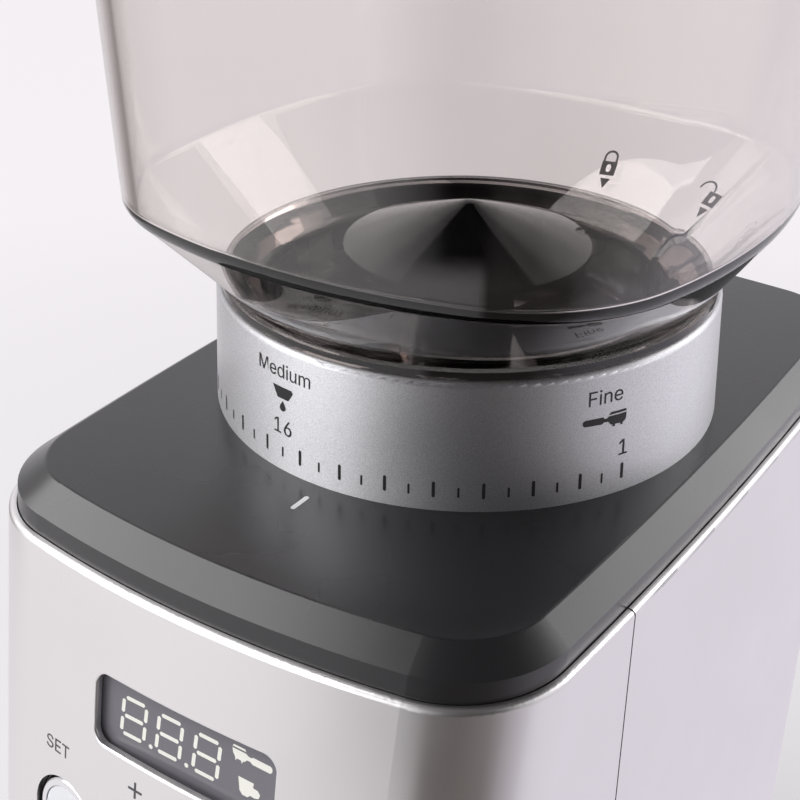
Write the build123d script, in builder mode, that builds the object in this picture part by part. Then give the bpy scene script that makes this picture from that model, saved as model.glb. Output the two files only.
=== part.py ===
import os
from math import asin, atan2, cos, degrees, pi, radians, sin, sqrt, tan

from build123d import *

# Electric burr grinder, millimetres, +Z up, front towards -Y.
# The origin lies on the table, in the middle of the footprint.

# Heights of the body, from the table up
foot_height = 4.0
base_height = 22.0
bay_height = 107.0
floor_thickness = 3.0
head_height = 110.0
lip_height = 8.0

# Plan of the body: four bowed sides and rounded corners
half_width = 66.5
side_bow = 1400.0
front_bow = 258.0
back_bow = 420.0
corner_radius = 24.3
widest_behind_axis = 25.0
front_reach_top = 94.6
front_angle = 10.5
back_reach = 97.0

# Walls, gaps and fits
steel = 1.5
plastic = 3.0
sheet_gap = 0.3
moving_gap = 0.4
bearing_gap = 0.03
bore_gap = 0.02
cut_over = 1.0

# Top plate and the steel panels
chamfer_width = 5.5
chamfer_drop = 4.0
plate_round = 0.8
plug_depth = 8.0
plate_thickness = 3.0
steel_roll = 1.2
window_roll = 0.5
seam_reach = 47.0
seam_gap = 0.4
vent_count = 7
vent_length = 46.0
vent_width = 2.6
vent_pitch = 6.0
vent_centre = 78.0

# Display and buttons, measured down from the plate's flat top
window_width = 43.0
window_height = 15.5
window_radius = 3.0
window_drop = 34.3
lens_depth = 3.0
lens_thickness = 1.5
lens_margin = 2.2
board_depth = 18.0
board_thickness = 1.6
board_width = 84.0
board_height = 66.0
button_drop = 64.5
button_pitch = 20.1
button_radius = 8.2
button_hole = 9.0
button_rim = 1.7
button_round = 0.8
button_sink = 0.5
button_height = 5.0
button_travel = 1.2
cap_depth = 1.2
cap_round = 0.4
stem_radius = 1.8
stem_length = 4.0
guide_wall = 1.6
guide_floor = 1.5
switch_width = 6.0
button_names = ["set", "plus", "minus", "start"]

# Grind setting collar
plate_ledge = 11.5
collar_radius = half_width - plate_ledge
collar_lean = 1.25
collar_height = 26.6
collar_wall = 3.2
collar_ring_height = 8.0
collar_round = 1.1
collar_turn_fine = 65.0
collar_turn_coarse = 85.0

# Hopper seat, inside the collar
seat_step = 6.0
seat_radius = collar_radius - seat_step
seat_wall = 2.2
seat_height = 22.0
seat_flange = 7.0
seat_flange_height = 3.0
window_foot = 0.5
window_top = 7.5
key_angle = 12.0
key_clearance = 8.0
entry_width = 10.0
entry_clearance = 2.0
lug_angles = [50.0, 170.0, 290.0]
lock_turn = 30.0

# Hopper
neck_gap = 0.4
hopper_wall = 2.5
neck_bottom = 11.4
lug_height = 3.0
lug_rise = 1.6
lug_clearance = 0.35
hopper_flange_height = 1.6
flange_step = 2.0
hopper_flange = collar_radius - flange_step
fold_height = 46.9
hopper_overhang = 9.6
hopper_half = collar_radius + hopper_overhang
hopper_bow = 130.0
hopper_corner = 37.0
hopper_draft = 1.65
hopper_rim = 137.0
gate_thickness = 2.0
gate_rise = 9.0
port_count = 6
port_inner = 14.0
port_margin = 2.9
port_angle = 26.0
pivot_radius = 5.0
pivot_height = 4.6
cone_radius = 26.5
cone_base = 32.0
cone_top = 42.5
cone_rim = 1.2
cone_tip_round = 5.0
cone_stem_wall = 2.5

# Hopper lid
lid_thickness = 4.0
lid_round = 1.3
lid_skirt = 8.0
lid_wall = 2.5
lid_overhang = 0.6
skirt_clearance = 1.4
grip_length = 62.0
grip_width = 16.0
grip_height = 9.0
grip_taper = 12.0
grip_round = 2.0
seal_height = 3.0
seal_depth = 1.0

# Grinding chamber and burrs
chamber_step = 1.0
chamber_wall = 3.1
chamber_radius = seat_radius - chamber_step
chamber_inner = chamber_radius - chamber_wall
chamber_height = 37.0
spout_width = 20.0
spout_height = 15.0
spout_reach = 51.0
duct_wall = 2.0
carrier_gap = 0.3
carrier_wall = 3.6
carrier_key_width = 10.0
carrier_key_height = 3.5
carrier_key_foot = 2.0
carrier_key_drop = 1.2
carrier_foot = 30.0
carrier_shoulder = 22.0
ring_radius = 27.0
ring_height = 16.0
ring_bottom_bore = 21.2
ring_top_bore = 15.0
ring_teeth = 24
cone_burr_radius = 20.0
cone_burr_top = 9.5
cone_burr_height = 22.0
cone_burr_foot = 3.0
cone_burr_teeth = 16
tooth_depth = 1.6
tooth_twist = 24.0
tooth_run_out = 1.0
sweeper_gap = 3.9
sweeper_thickness = 2.0
paddle_count = 4
paddle_height = 2.0
paddle_width = 3.0
paddle_length = 10.0
paddle_inset = 1.0
nut_width = 13.0
nut_height = 5.0

# Drive
shaft_radius = 4.0
bearing_radius = 11.0
bearing_height = 6.0
bearing_wall = 2.5
bearing_floor = 1.0
bearing_race = 2.2
bearing_shield = 0.6
gear_module = 1.5
gear_teeth = 44
pinion_teeth = 11
pressure_angle = 25.0
addendum = 0.8
dedendum = 1.05
backlash = 0.16
gear_height = 8.0
gear_hub = 9.0
gear_rim = 4.0
gear_web = 3.0
gear_hole_count = 6
gear_hole = 4.5
pinion_height = 10.0
case_height = 19.0
case_clearance = 2.5
motor_radius = 29.0
motor_height = 74.0
motor_nose = 10.0
motor_edge = 3.0
motor_slot_count = 6
motor_slot_width = 7.0
motor_slot_length = 30.0
motor_slot_depth = 2.0
motor_shaft_radius = 2.5
motor_shaft_depth = 28.0
damper_thickness = 3.0
damper_radius = 22.0

# Chute and grounds container
chute_width = 22.0
chute_depth = 20.0
chute_drop = 8.0
chute_slope = 8.0
bay_reach = 30.0
cheek = 2.5
container_width = 92.0
container_depth = 76.0
container_height = 76.0
container_corner = 16.0
container_draft = 2.0
container_wall = 2.2
container_clearance = 2.0
container_foot_round = 3.0
container_lid_thickness = 2.4
container_lid_skirt = 6.0
container_lid_round = 0.8
container_skirt_clearance = 0.8
container_mouth = 34.0
mouth_rim = 3.0

# Base, feet, posts and small parts
foot_radius = 9.0
foot_inset = 24.0
foot_front = 82.0
foot_back = 78.0
foot_edge = 1.0
base_edge = 1.0
cover_thickness = 2.5
boss_radius = 5.0
screw_radius = 1.6
screw_head = 3.2
screw_head_height = 1.6
screw_length = 12.0
post_inset = 22.0
post_back = 76.0
post_radius = 5.0
gland_height = 42.0
gland_bore = 3.6
gland_radius = 6.0
gland_flange = 8.5
gland_flange_thickness = 2.0
gland_round = 0.8
power_board_height = 62.0
power_board_rise = 40.0
capacitor_radius = 5.0
capacitor_length = 8.0
relay_size = (16.0, 7.0, 20.0)
terminal_size = (22.0, 6.0, 9.0)
hopper_switch_size = (20.0, 6.0, 12.0)
plunger_radius = 1.5

# Levels and places that follow from the sizes above
base_top = foot_height + base_height
floor_bottom = base_top + bay_height
head_bottom = floor_bottom + floor_thickness
plate_top = head_bottom + head_height
steel_top = plate_top - lip_height
front_slope = tan(radians(front_angle))
front_reach = front_reach_top + (steel_top - head_bottom) * front_slope
axis_y = (front_reach - back_reach - sheet_gap - gland_flange_thickness) / 2
back_y = axis_y + back_reach
widest_y = axis_y + widest_behind_axis
seam_y = axis_y - seam_reach
bay_back = axis_y - bay_reach
lining = steel + sheet_gap
axis_plane = Plane((0, axis_y, 0))
radius_plane = Plane((0, axis_y, 0), x_dir=(1, 0, 0), z_dir=(0, -1, 0))
grind_axis = Axis((0, axis_y, 0), (0, 0, 1))

os.makedirs("parts", exist_ok=True)


def front_at(height):
    """Front of the body in the middle, which leans out on its way down."""
    return axis_y - front_reach_top - (steel_top - height) * front_slope


def finish(piece, name):
    piece.part.label = name
    export_step(piece.part, f"parts/{name}.step")


def body_outline(front, inset=0.0):
    """Four discs that cross leave the bowed outline, and its corners are rounded."""
    side_centre = half_width - side_bow
    with Locations((side_centre, widest_y)):
        Circle(side_bow - inset)
    with Locations((-side_centre, widest_y)):
        Circle(side_bow - inset, mode=Mode.INTERSECT)
    with Locations((0, front + front_bow)):
        Circle(front_bow - inset, mode=Mode.INTERSECT)
    with Locations((0, back_y - back_bow)):
        Circle(back_bow - inset, mode=Mode.INTERSECT)
    fillet(vertices(), corner_radius - inset)


def body_prism(front, inset, bottom, top, mode=Mode.ADD):
    with BuildSketch(Plane.XY.offset(bottom)) as profile:
        body_outline(front, inset)
    extrude(profile.sketch, amount=top - bottom, mode=mode)


def body_loft(inset, bottom, top, top_inset=None, mode=Mode.ADD):
    """The leaning body between two heights."""
    with BuildSketch(Plane.XY.offset(bottom)) as lower:
        body_outline(front_at(bottom), inset)
    with BuildSketch(Plane.XY.offset(top)) as upper:
        body_outline(front_at(top), inset if top_inset is None else top_inset)
    loft([lower.sketch, upper.sketch], ruled=True, mode=mode)


def disc(radius, bottom, top, y=axis_y, x=0.0, mode=Mode.ADD):
    with BuildSketch(Plane.XY.offset(bottom)) as profile:
        with Locations((x, y)):
            Circle(radius)
    extrude(profile.sketch, amount=top - bottom, mode=mode)


def block(x_range, y_range, z_range, mode=Mode.ADD):
    centre = [(low + high) / 2 for low, high in (x_range, y_range, z_range)]
    with Locations(tuple(centre)):
        Box(x_range[1] - x_range[0], y_range[1] - y_range[0], z_range[1] - z_range[0], mode=mode)


def turned(points, mode=Mode.ADD):
    """A profile of radius and height, turned round the grinding axis."""
    with BuildSketch(radius_plane) as profile:
        with BuildLine():
            Polyline(*points, close=True)
        make_face()
    revolve(profile.sketch, axis=grind_axis, mode=mode)


def sector(inner, outer, angle, centre):
    """A sector of a ring, in the sketch that is open."""
    half = radians(angle) / 2
    turn = radians(centre)

    def at(radius, offset):
        return (radius * cos(turn + offset), radius * sin(turn + offset))

    with BuildLine() as border:
        ThreePointArc(at(outer, -half), at(outer, 0), at(outer, half))
        Line(at(outer, half), at(inner, half))
        ThreePointArc(at(inner, half), at(inner, 0), at(inner, -half))
        Line(at(inner, -half), at(outer, -half))
    make_face(border.edges())


def ring_sector(inner, outer, angle, centre, bottom, top, mode=Mode.ADD):
    with BuildSketch(axis_plane.offset(bottom)) as profile:
        sector(inner, outer, angle, centre)
    extrude(profile.sketch, amount=top - bottom, mode=mode)


# Base tray, its bottom cover, screws and feet
foot_side = half_width - foot_inset
foot_spots = [(side * foot_side, axis_y + reach) for side in (-1, 1) for reach in (-foot_front, foot_back)]
boss_spots = [(x, y - foot_radius - boss_radius) for x, y in foot_spots]
cover_top = foot_height + cover_thickness

with BuildPart() as base:
    body_prism(front_at(head_bottom), 0, foot_height, base_top)
    fillet(base.edges().group_by(Axis.Z)[-1], base_edge)
    body_prism(front_at(head_bottom), plastic, foot_height, base_top - plastic, mode=Mode.SUBTRACT)
    with BuildSketch(Plane.XY.offset(cover_top)):
        with Locations(*boss_spots):
            Circle(boss_radius)
    extrude(amount=base_top - plastic - cover_top)
    with BuildSketch(Plane.XY.offset(cover_top)):
        with Locations(*boss_spots):
            Circle(screw_radius + bore_gap)
    extrude(amount=screw_length, mode=Mode.SUBTRACT)
finish(base, "base")

with BuildPart() as bottom_cover:
    body_prism(front_at(head_bottom), plastic + sheet_gap, foot_height, cover_top)
    with BuildSketch(Plane.XY.offset(foot_height)):
        with Locations(*boss_spots):
            Circle(screw_radius + bore_gap)
    extrude(amount=cover_thickness, mode=Mode.SUBTRACT)
    with BuildSketch(Plane.XY.offset(foot_height)):
        with Locations(*boss_spots):
            Circle(screw_head + sheet_gap)
    extrude(amount=screw_head_height, mode=Mode.SUBTRACT)
finish(bottom_cover, "bottom_cover")

with BuildPart() as cover_screws:
    with BuildSketch(Plane.XY.offset(foot_height)):
        with Locations(*boss_spots):
            Circle(screw_head)
    extrude(amount=screw_head_height)
    with BuildSketch(Plane.XY.offset(foot_height)):
        with Locations(*boss_spots):
            Circle(screw_radius)
    extrude(amount=screw_length)
finish(cover_screws, "cover_screws")

with BuildPart() as feet:
    with BuildSketch():
        with Locations(*foot_spots):
            Circle(foot_radius)
    extrude(amount=foot_height)
    chamfer(feet.edges().group_by(Axis.Z)[0], foot_edge)
finish(feet, "feet")

# Steel panels: the leaning front wraps round to a seam, the rear shell closes sides and back
seam_plane = Plane((0, seam_y, 0), x_dir=(1, 0, 0), z_dir=(0, 1, 0))
panel_normal = (0, -cos(radians(front_angle)), sin(radians(front_angle)))


def panel_plane(drop):
    """Plane that touches the front in the middle, at a drop below the plate's top."""
    height = plate_top - drop
    return Plane((0, front_at(height), height), x_dir=(1, 0, 0), z_dir=panel_normal)


def button_plane(index):
    """Plane on the bowed front at one button, square to the panel there."""
    side = (index - (len(button_names) - 1) / 2) * button_pitch
    turn = asin(side / front_bow)
    lean = radians(front_angle)
    height = plate_top - button_drop
    bow = front_bow - sqrt(front_bow**2 - side**2)
    normal = (cos(lean) * sin(turn), -cos(lean) * cos(turn), sin(lean))
    return Plane((side, front_at(height) + bow, height), x_dir=(cos(turn), sin(turn), 0), z_dir=normal)


button_planes = [button_plane(index) for index in range(len(button_names))]
window_plane = panel_plane(window_drop)


def on_outer_face(edge):
    """Tells the window's outer edges, which bow back from the plane, from those behind the sheet."""
    bow = front_bow - sqrt(front_bow**2 - (window_width / 2) ** 2)
    return window_plane.to_local_coords(edge.center()).Z > -(bow + steel) / 2


with BuildPart() as front_panel:
    body_loft(0, head_bottom, steel_top)
    fillet(front_panel.edges().group_by(Axis.Z)[-1], steel_roll)
    body_loft(steel, head_bottom, steel_top, mode=Mode.SUBTRACT)
    split(bisect_by=seam_plane.offset(-seam_gap / 2), keep=Keep.BOTTOM)
    with BuildSketch(window_plane):
        RectangleRounded(window_width, window_height, window_radius)
    extrude(amount=board_depth / 2, both=True, mode=Mode.SUBTRACT)
    fillet(front_panel.edges(Select.LAST).filter_by(on_outer_face), window_roll)
    for spot in button_planes:
        with BuildSketch(spot):
            Circle(button_hole)
        extrude(amount=board_depth / 2, both=True, mode=Mode.SUBTRACT)
finish(front_panel, "front_panel")

gland_spot = Plane((0, back_y, gland_height), x_dir=(-1, 0, 0), z_dir=(0, 1, 0))

with BuildPart() as rear_shell:
    body_prism(front_at(steel_top), 0, base_top, steel_top)
    fillet(rear_shell.edges().group_by(Axis.Z)[-1], steel_roll)
    body_prism(front_at(steel_top), steel, base_top, steel_top, mode=Mode.SUBTRACT)
    split(bisect_by=seam_plane.offset(seam_gap / 2), keep=Keep.TOP)
    with BuildSketch(Plane((0, back_y, vent_centre), x_dir=(-1, 0, 0), z_dir=(0, 1, 0))):
        with GridLocations(0, vent_pitch, 1, vent_count):
            SlotOverall(vent_length, vent_width)
    extrude(amount=-2 * plastic - steel, mode=Mode.SUBTRACT)
    with BuildSketch(gland_spot):
        Circle(gland_radius + sheet_gap)
    extrude(amount=-plastic - steel, mode=Mode.SUBTRACT)
finish(rear_shell, "rear_shell")

with BuildPart() as cord_gland:
    with BuildSketch(gland_spot.offset(sheet_gap)):
        Circle(gland_flange)
    extrude(amount=gland_flange_thickness)
    fillet(cord_gland.edges().sort_by(Axis.Y)[-1], gland_round)
    with BuildSketch(gland_spot.offset(sheet_gap)):
        Circle(gland_radius)
    extrude(amount=-steel - 2 * sheet_gap)
    with BuildSketch(gland_spot.offset(-steel - sheet_gap)):
        Circle(gland_flange)
    extrude(amount=-gland_flange_thickness)
    with BuildSketch(gland_spot):
        Circle(gland_bore)
    extrude(amount=board_depth, both=True, mode=Mode.SUBTRACT)
finish(cord_gland, "cord_gland")

# Top plate with its wide chamfer, lip and the plug that sits in the steel
lip_inset = lining - sheet_gap / 3
flat_inset = lip_inset + chamfer_width

with BuildPart() as top_plate:
    body_loft(lip_inset, steel_top - plug_depth, plate_top - chamfer_drop)
    body_loft(lip_inset, plate_top - chamfer_drop, plate_top, top_inset=flat_inset)
    fillet(top_plate.edges().group_by(Axis.Z)[-1], plate_round)
    body_prism(
        front_at(steel_top), flat_inset, steel_top - plug_depth, plate_top - plate_thickness,
        mode=Mode.SUBTRACT,
    )
    disc(seat_radius + moving_gap, plate_top - plate_thickness, plate_top, mode=Mode.SUBTRACT)
finish(top_plate, "top_plate")

# Main frame: bay lining, floor of the head, deck for the drive and two rear posts
case_bottom = plate_top - seat_flange_height - plate_thickness - chamber_height - case_height
deck_bottom = case_bottom - floor_thickness
motor_y = axis_y + gear_module * (gear_teeth + pinion_teeth) / 2
chute_back = axis_y - spout_reach - duct_wall
chute_front = chute_back - chute_depth
post_side = half_width - post_inset

with BuildPart() as main_frame:
    with BuildSketch(Plane.XY.offset(base_top)):
        body_outline(front_at(steel_top), lining)
        with Locations((0, (seam_y + bay_back + plastic) / 2)):
            Rectangle(4 * half_width, bay_back + plastic - seam_y, mode=Mode.INTERSECT)
    extrude(amount=floor_bottom - base_top)
    with BuildSketch(Plane.XY.offset(base_top)):
        body_outline(front_at(steel_top), lining + cheek)
        with Locations((0, (seam_y + bay_back) / 2)):
            Rectangle(4 * half_width, bay_back - seam_y, mode=Mode.INTERSECT)
    extrude(amount=floor_bottom - base_top, mode=Mode.SUBTRACT)
    with BuildSketch(Plane.XY.offset(floor_bottom)):
        body_outline(front_at(head_bottom))
        with Locations((0, seam_y - front_bow)):
            Rectangle(4 * half_width, 2 * front_bow, mode=Mode.INTERSECT)
    extrude(amount=floor_thickness)
    with BuildSketch(Plane.XY.offset(floor_bottom)):
        body_outline(front_at(steel_top), lining)
        with Locations((0, (seam_y + bay_back + plastic) / 2)):
            Rectangle(4 * half_width, bay_back + plastic - seam_y, mode=Mode.INTERSECT)
    extrude(amount=floor_thickness)
    with BuildSketch(Plane.XY.offset(head_bottom)):
        body_outline(front_at(steel_top), lining)
        with Locations((0, bay_back + plastic / 2)):
            Rectangle(4 * half_width, plastic, mode=Mode.INTERSECT)
    extrude(amount=deck_bottom - head_bottom)
    with BuildSketch(Plane.XY.offset(deck_bottom)):
        body_outline(front_at(steel_top), lining)
        with Locations((0, bay_back + front_bow)):
            Rectangle(4 * half_width, 2 * front_bow, mode=Mode.INTERSECT)
    extrude(amount=floor_thickness)
    with BuildSketch(Plane.XY.offset(base_top)):
        with Locations((-post_side, axis_y + post_back), (post_side, axis_y + post_back)):
            Circle(post_radius)
    extrude(amount=deck_bottom - base_top)
    disc(motor_nose + sheet_gap, deck_bottom, case_bottom, y=motor_y, mode=Mode.SUBTRACT)
    block(
        (-chute_width / 2 - sheet_gap, chute_width / 2 + sheet_gap),
        (chute_front - sheet_gap, chute_back + sheet_gap),
        (floor_bottom, head_bottom),
        mode=Mode.SUBTRACT,
    )
finish(main_frame, "main_frame")

# Display: lens behind the window, its module and the control board
lens_width = window_width + 2 * lens_margin
lens_height = window_height + 2 * lens_margin

with BuildPart() as display_lens:
    with BuildSketch(window_plane.offset(-lens_depth)):
        RectangleRounded(lens_width, lens_height, window_radius)
    extrude(amount=-lens_thickness)
finish(display_lens, "display_lens")

with BuildPart() as display_module:
    with BuildSketch(window_plane.offset(-lens_depth - lens_thickness)):
        RectangleRounded(lens_width, lens_height, window_radius)
    extrude(amount=-(board_depth - lens_depth - lens_thickness))
finish(display_module, "display_module")

board_plane = panel_plane((window_drop + button_drop) / 2).offset(-board_depth)

with BuildPart() as control_board:
    with BuildSketch(board_plane):
        RectangleRounded(board_width, board_height, window_radius)
    extrude(amount=-board_thickness)
finish(control_board, "control_board")

# Buttons: a plated body with an inset cap, in a guide behind the panel, over a switch
guide_bore = button_radius + moving_gap
guide_depth = button_sink + button_height + button_travel + moving_gap
switch_depth = button_sink + button_height + stem_length + button_travel + moving_gap
strip_half_height = button_hole + guide_wall + plastic
strip_half_width = (len(button_names) - 1) / 2 * button_pitch + button_hole + guide_wall + plastic

with BuildPart() as button_guide:
    guide_low = plate_top - button_drop - strip_half_height
    guide_high = plate_top - button_drop + strip_half_height
    body_loft(lining, guide_low, guide_high)
    body_loft(lining + guide_wall, guide_low, guide_high, mode=Mode.SUBTRACT)
    block(
        (-strip_half_width, strip_half_width),
        (front_at(guide_low) - plastic, front_at(guide_high) + board_depth),
        (guide_low, guide_high),
        mode=Mode.INTERSECT,
    )
    for spot in button_planes:
        with BuildSketch(spot.offset(-lining - guide_wall / 2)):
            Circle(guide_bore + guide_wall)
        extrude(amount=-(guide_depth + guide_floor - lining - guide_wall / 2))
    for spot in button_planes:
        with BuildSketch(spot.offset(-guide_depth)):
            Circle(guide_bore)
        extrude(amount=guide_depth, mode=Mode.SUBTRACT)
        with BuildSketch(spot.offset(-guide_depth)):
            Circle(stem_radius + sheet_gap)
        extrude(amount=-2 * guide_floor, mode=Mode.SUBTRACT)
finish(button_guide, "button_guide")

with BuildPart() as button_switches:
    for spot in button_planes:
        with BuildSketch(spot.offset(-switch_depth)):
            Rectangle(switch_width, switch_width)
        extrude(amount=-2 * board_depth)
    split(bisect_by=board_plane, keep=Keep.TOP)
finish(button_switches, "button_switches")

for label, spot in zip(button_names, button_planes):
    with BuildPart() as button:
        with BuildSketch(spot.offset(-button_sink)):
            Circle(button_radius)
        extrude(amount=-button_height)
        face_edges = button.edges().sort_by(Axis(spot.origin, spot.z_dir))[-1]
        fillet(face_edges, button_round)
        with BuildSketch(spot.offset(-button_sink)):
            Circle(button_radius - button_rim)
        extrude(amount=-cap_depth, mode=Mode.SUBTRACT)
        with BuildSketch(spot.offset(-button_sink - button_height)):
            Circle(stem_radius)
        extrude(amount=-stem_length)
    finish(button, f"button_{label}")

    with BuildPart() as cap:
        with BuildSketch(spot.offset(-button_sink - cap_depth)):
            Circle(button_radius - button_rim - bore_gap)
        extrude(amount=cap_depth - sheet_gap / 2)
        fillet(cap.edges().sort_by(Axis(spot.origin, spot.z_dir))[-1], cap_round)
    finish(cap, f"cap_{label}")

# Hopper seat: a fixed ring with two windows for the collar keys and three bayonet slots
seat_bottom = plate_top - plate_thickness - seat_flange_height
seat_inner = seat_radius - seat_wall
collar_travel = collar_turn_fine + collar_turn_coarse
window_span = collar_travel + key_angle + key_clearance
window_middle = -90 + (collar_turn_coarse - collar_turn_fine) / 2
entry_angle = degrees(entry_width / seat_radius)
lug_low = plate_top + neck_bottom + lug_rise

with BuildPart() as hopper_seat:
    disc(seat_radius, seat_bottom, plate_top + seat_height)
    disc(seat_radius + seat_flange, seat_bottom, plate_top - plate_thickness)
    disc(seat_inner, seat_bottom, plate_top + seat_height, mode=Mode.SUBTRACT)
    for turn in (0, 180):
        ring_sector(
            seat_inner - plastic, seat_radius + plastic, window_span, window_middle + turn,
            plate_top + window_foot, plate_top + window_top, mode=Mode.SUBTRACT,
        )
    for angle in lug_angles:
        ring_sector(
            seat_inner - plastic, seat_radius + plastic, entry_angle, angle,
            plate_top + gate_rise, plate_top + seat_height, mode=Mode.SUBTRACT,
        )
        ring_sector(
            seat_inner - plastic, seat_radius + plastic, entry_angle + lock_turn, angle - lock_turn / 2,
            lug_low - lug_clearance, lug_low + lug_height + lug_clearance, mode=Mode.SUBTRACT,
        )
finish(hopper_seat, "hopper_seat")

# Grind setting collar, keyed to the burr carrier inside it
collar_top = plate_top + collar_height
collar_bore = seat_radius + moving_gap
key_reach = collar_radius - collar_wall + moving_gap
notch_width = carrier_key_width + 2 * moving_gap

with BuildPart() as adjust_collar:
    turned([
        (collar_bore, plate_top),
        (collar_radius, plate_top),
        (collar_radius - collar_lean, collar_top),
        (collar_radius - collar_wall, collar_top),
        (collar_radius - collar_wall, plate_top + collar_ring_height),
        (collar_bore, plate_top + collar_ring_height),
    ])
    rim_edges = adjust_collar.edges().filter_by(GeomType.CIRCLE).group_by(Axis.Z)[-1]
    fillet(rim_edges.sort_by(SortBy.RADIUS)[-1], collar_round)
    for side in (-1, 1):
        reach = sorted((axis_y + side * seat_inner, axis_y + side * (key_reach + moving_gap)))
        block(
            (-notch_width / 2, notch_width / 2),
            reach,
            (plate_top + carrier_key_foot - carrier_key_drop, plate_top + collar_ring_height),
            mode=Mode.SUBTRACT,
        )
finish(adjust_collar, "adjust_collar")

# Grinding chamber with its spout, on the gear case
chamber_top = seat_bottom
chamber_bottom = chamber_top - chamber_height
bearing_seat = bearing_radius + bore_gap
upper_bearing_bottom = chamber_bottom + bearing_floor
upper_bearing_top = upper_bearing_bottom + bearing_height
spout_bottom = chamber_bottom + duct_wall
case_gear_radius = gear_module * (gear_teeth / 2 + addendum) + case_clearance
case_pinion_radius = gear_module * (pinion_teeth / 2 + addendum) + case_clearance


def case_outline(wall):
    with Locations((0, axis_y)):
        Circle(case_gear_radius + wall)
    with Locations((0, motor_y)):
        Circle(case_pinion_radius + wall)
    make_hull()


with BuildPart() as grind_chamber:
    disc(chamber_radius, chamber_bottom, chamber_top)
    block(
        (-spout_width / 2, spout_width / 2),
        (axis_y - spout_reach, axis_y),
        (spout_bottom, spout_bottom + spout_height),
    )
    with BuildSketch(Plane.XY.offset(chamber_bottom)):
        case_outline(plastic)
    extrude(amount=floor_thickness)
    disc(chamber_inner, chamber_bottom + floor_thickness, chamber_top, mode=Mode.SUBTRACT)
    disc(bearing_seat + bearing_wall, chamber_bottom + floor_thickness, upper_bearing_top)
    disc(bearing_seat, upper_bearing_bottom, upper_bearing_top, mode=Mode.SUBTRACT)
    disc(shaft_radius + moving_gap, chamber_bottom, upper_bearing_bottom, mode=Mode.SUBTRACT)
    block(
        (duct_wall - spout_width / 2, spout_width / 2 - duct_wall),
        (axis_y - spout_reach, axis_y - chamber_inner + plastic),
        (chamber_bottom + floor_thickness, spout_bottom + spout_height - duct_wall),
        mode=Mode.SUBTRACT,
    )
finish(grind_chamber, "grind_chamber")

lower_bearing_bottom = case_bottom + bearing_floor

with BuildPart() as gear_case:
    with BuildSketch(Plane.XY.offset(case_bottom)):
        case_outline(plastic)
    extrude(amount=case_height)
    with BuildSketch(Plane.XY.offset(case_bottom + floor_thickness)):
        case_outline(0)
    extrude(amount=case_height - floor_thickness, mode=Mode.SUBTRACT)
    disc(bearing_seat + bearing_wall, case_bottom, lower_bearing_bottom + bearing_height)
    disc(bearing_seat, lower_bearing_bottom, lower_bearing_bottom + bearing_height, mode=Mode.SUBTRACT)
    disc(shaft_radius + moving_gap, case_bottom, lower_bearing_bottom, mode=Mode.SUBTRACT)
    disc(
        motor_shaft_radius + moving_gap, case_bottom, case_bottom + floor_thickness,
        y=motor_y, mode=Mode.SUBTRACT,
    )
finish(gear_case, "gear_case")

for label, bottom in (("lower", lower_bearing_bottom), ("upper", upper_bearing_bottom)):
    with BuildPart() as bearing:
        disc(bearing_radius, bottom, bottom + bearing_height)
        for level in (bottom, bottom + bearing_height - bearing_shield):
            disc(bearing_radius - bearing_race, level, level + bearing_shield, mode=Mode.SUBTRACT)
            disc(shaft_radius + bearing_race, level, level + bearing_shield)
        disc(shaft_radius + bearing_gap, bottom, bottom + bearing_height, mode=Mode.SUBTRACT)
    finish(bearing, f"{label}_bearing")

# Burr carrier and ring burr
carrier_bottom = plate_top - carrier_foot
carrier_radius = chamber_inner - carrier_gap
carrier_mouth = carrier_radius - carrier_wall
carrier_top = plate_top + carrier_key_foot + carrier_key_height
ring_top = carrier_bottom + ring_height

with BuildPart() as burr_carrier:
    turned([
        (ring_radius + bore_gap, carrier_bottom),
        (carrier_radius, carrier_bottom),
        (carrier_radius, carrier_top),
        (carrier_mouth, carrier_top),
        (carrier_shoulder, ring_top + plastic),
        (carrier_shoulder, ring_top),
        (ring_radius + bore_gap, ring_top),
    ])
    for side in (-1, 1):
        reach = sorted((axis_y + side * carrier_mouth, axis_y + side * key_reach))
        block(
            (-carrier_key_width / 2, carrier_key_width / 2),
            reach,
            (carrier_top - carrier_key_height, carrier_top),
        )
    disc(carrier_mouth, carrier_top - carrier_key_height, carrier_top, mode=Mode.SUBTRACT)
finish(burr_carrier, "burr_carrier")


def burr_cutter(bottom, top, bottom_radius, top_radius, depth, width, twist):
    """One slanting V groove: a triangle at each end, joined by straight lines."""
    ends = ((bottom, bottom_radius, -twist / 2), (top, top_radius, twist / 2))
    with BuildPart() as cutter:
        for height, radius, turn in ends:
            with BuildSketch(axis_plane.offset(height).rotated((0, 0, turn))):
                with BuildLine():
                    Polyline(
                        (radius - depth, 0), (radius + depth, -width), (radius + depth, width), close=True
                    )
                make_face()
        loft(ruled=True)
    return cutter.part


ring_cutter = burr_cutter(
    carrier_bottom - tooth_run_out, ring_top + tooth_run_out, ring_bottom_bore, ring_top_bore,
    -tooth_depth, tooth_depth, -tooth_twist,
)
cone_bottom = upper_bearing_top + moving_gap + sweeper_thickness
cone_mid = cone_bottom + cone_burr_foot
cone_tip = cone_mid + cone_burr_height
cone_cutter = burr_cutter(
    cone_mid - tooth_run_out, cone_tip + tooth_run_out, cone_burr_radius, cone_burr_top,
    tooth_depth, tooth_depth, tooth_twist,
)

with BuildPart() as ring_burr:
    turned([
        (ring_bottom_bore, carrier_bottom),
        (ring_radius, carrier_bottom),
        (ring_radius, ring_top),
        (ring_top_bore, ring_top),
    ])
    for index in range(ring_teeth):
        add(ring_cutter.rotate(grind_axis, index * 360 / ring_teeth), mode=Mode.SUBTRACT)
finish(ring_burr, "ring_burr")

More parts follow.
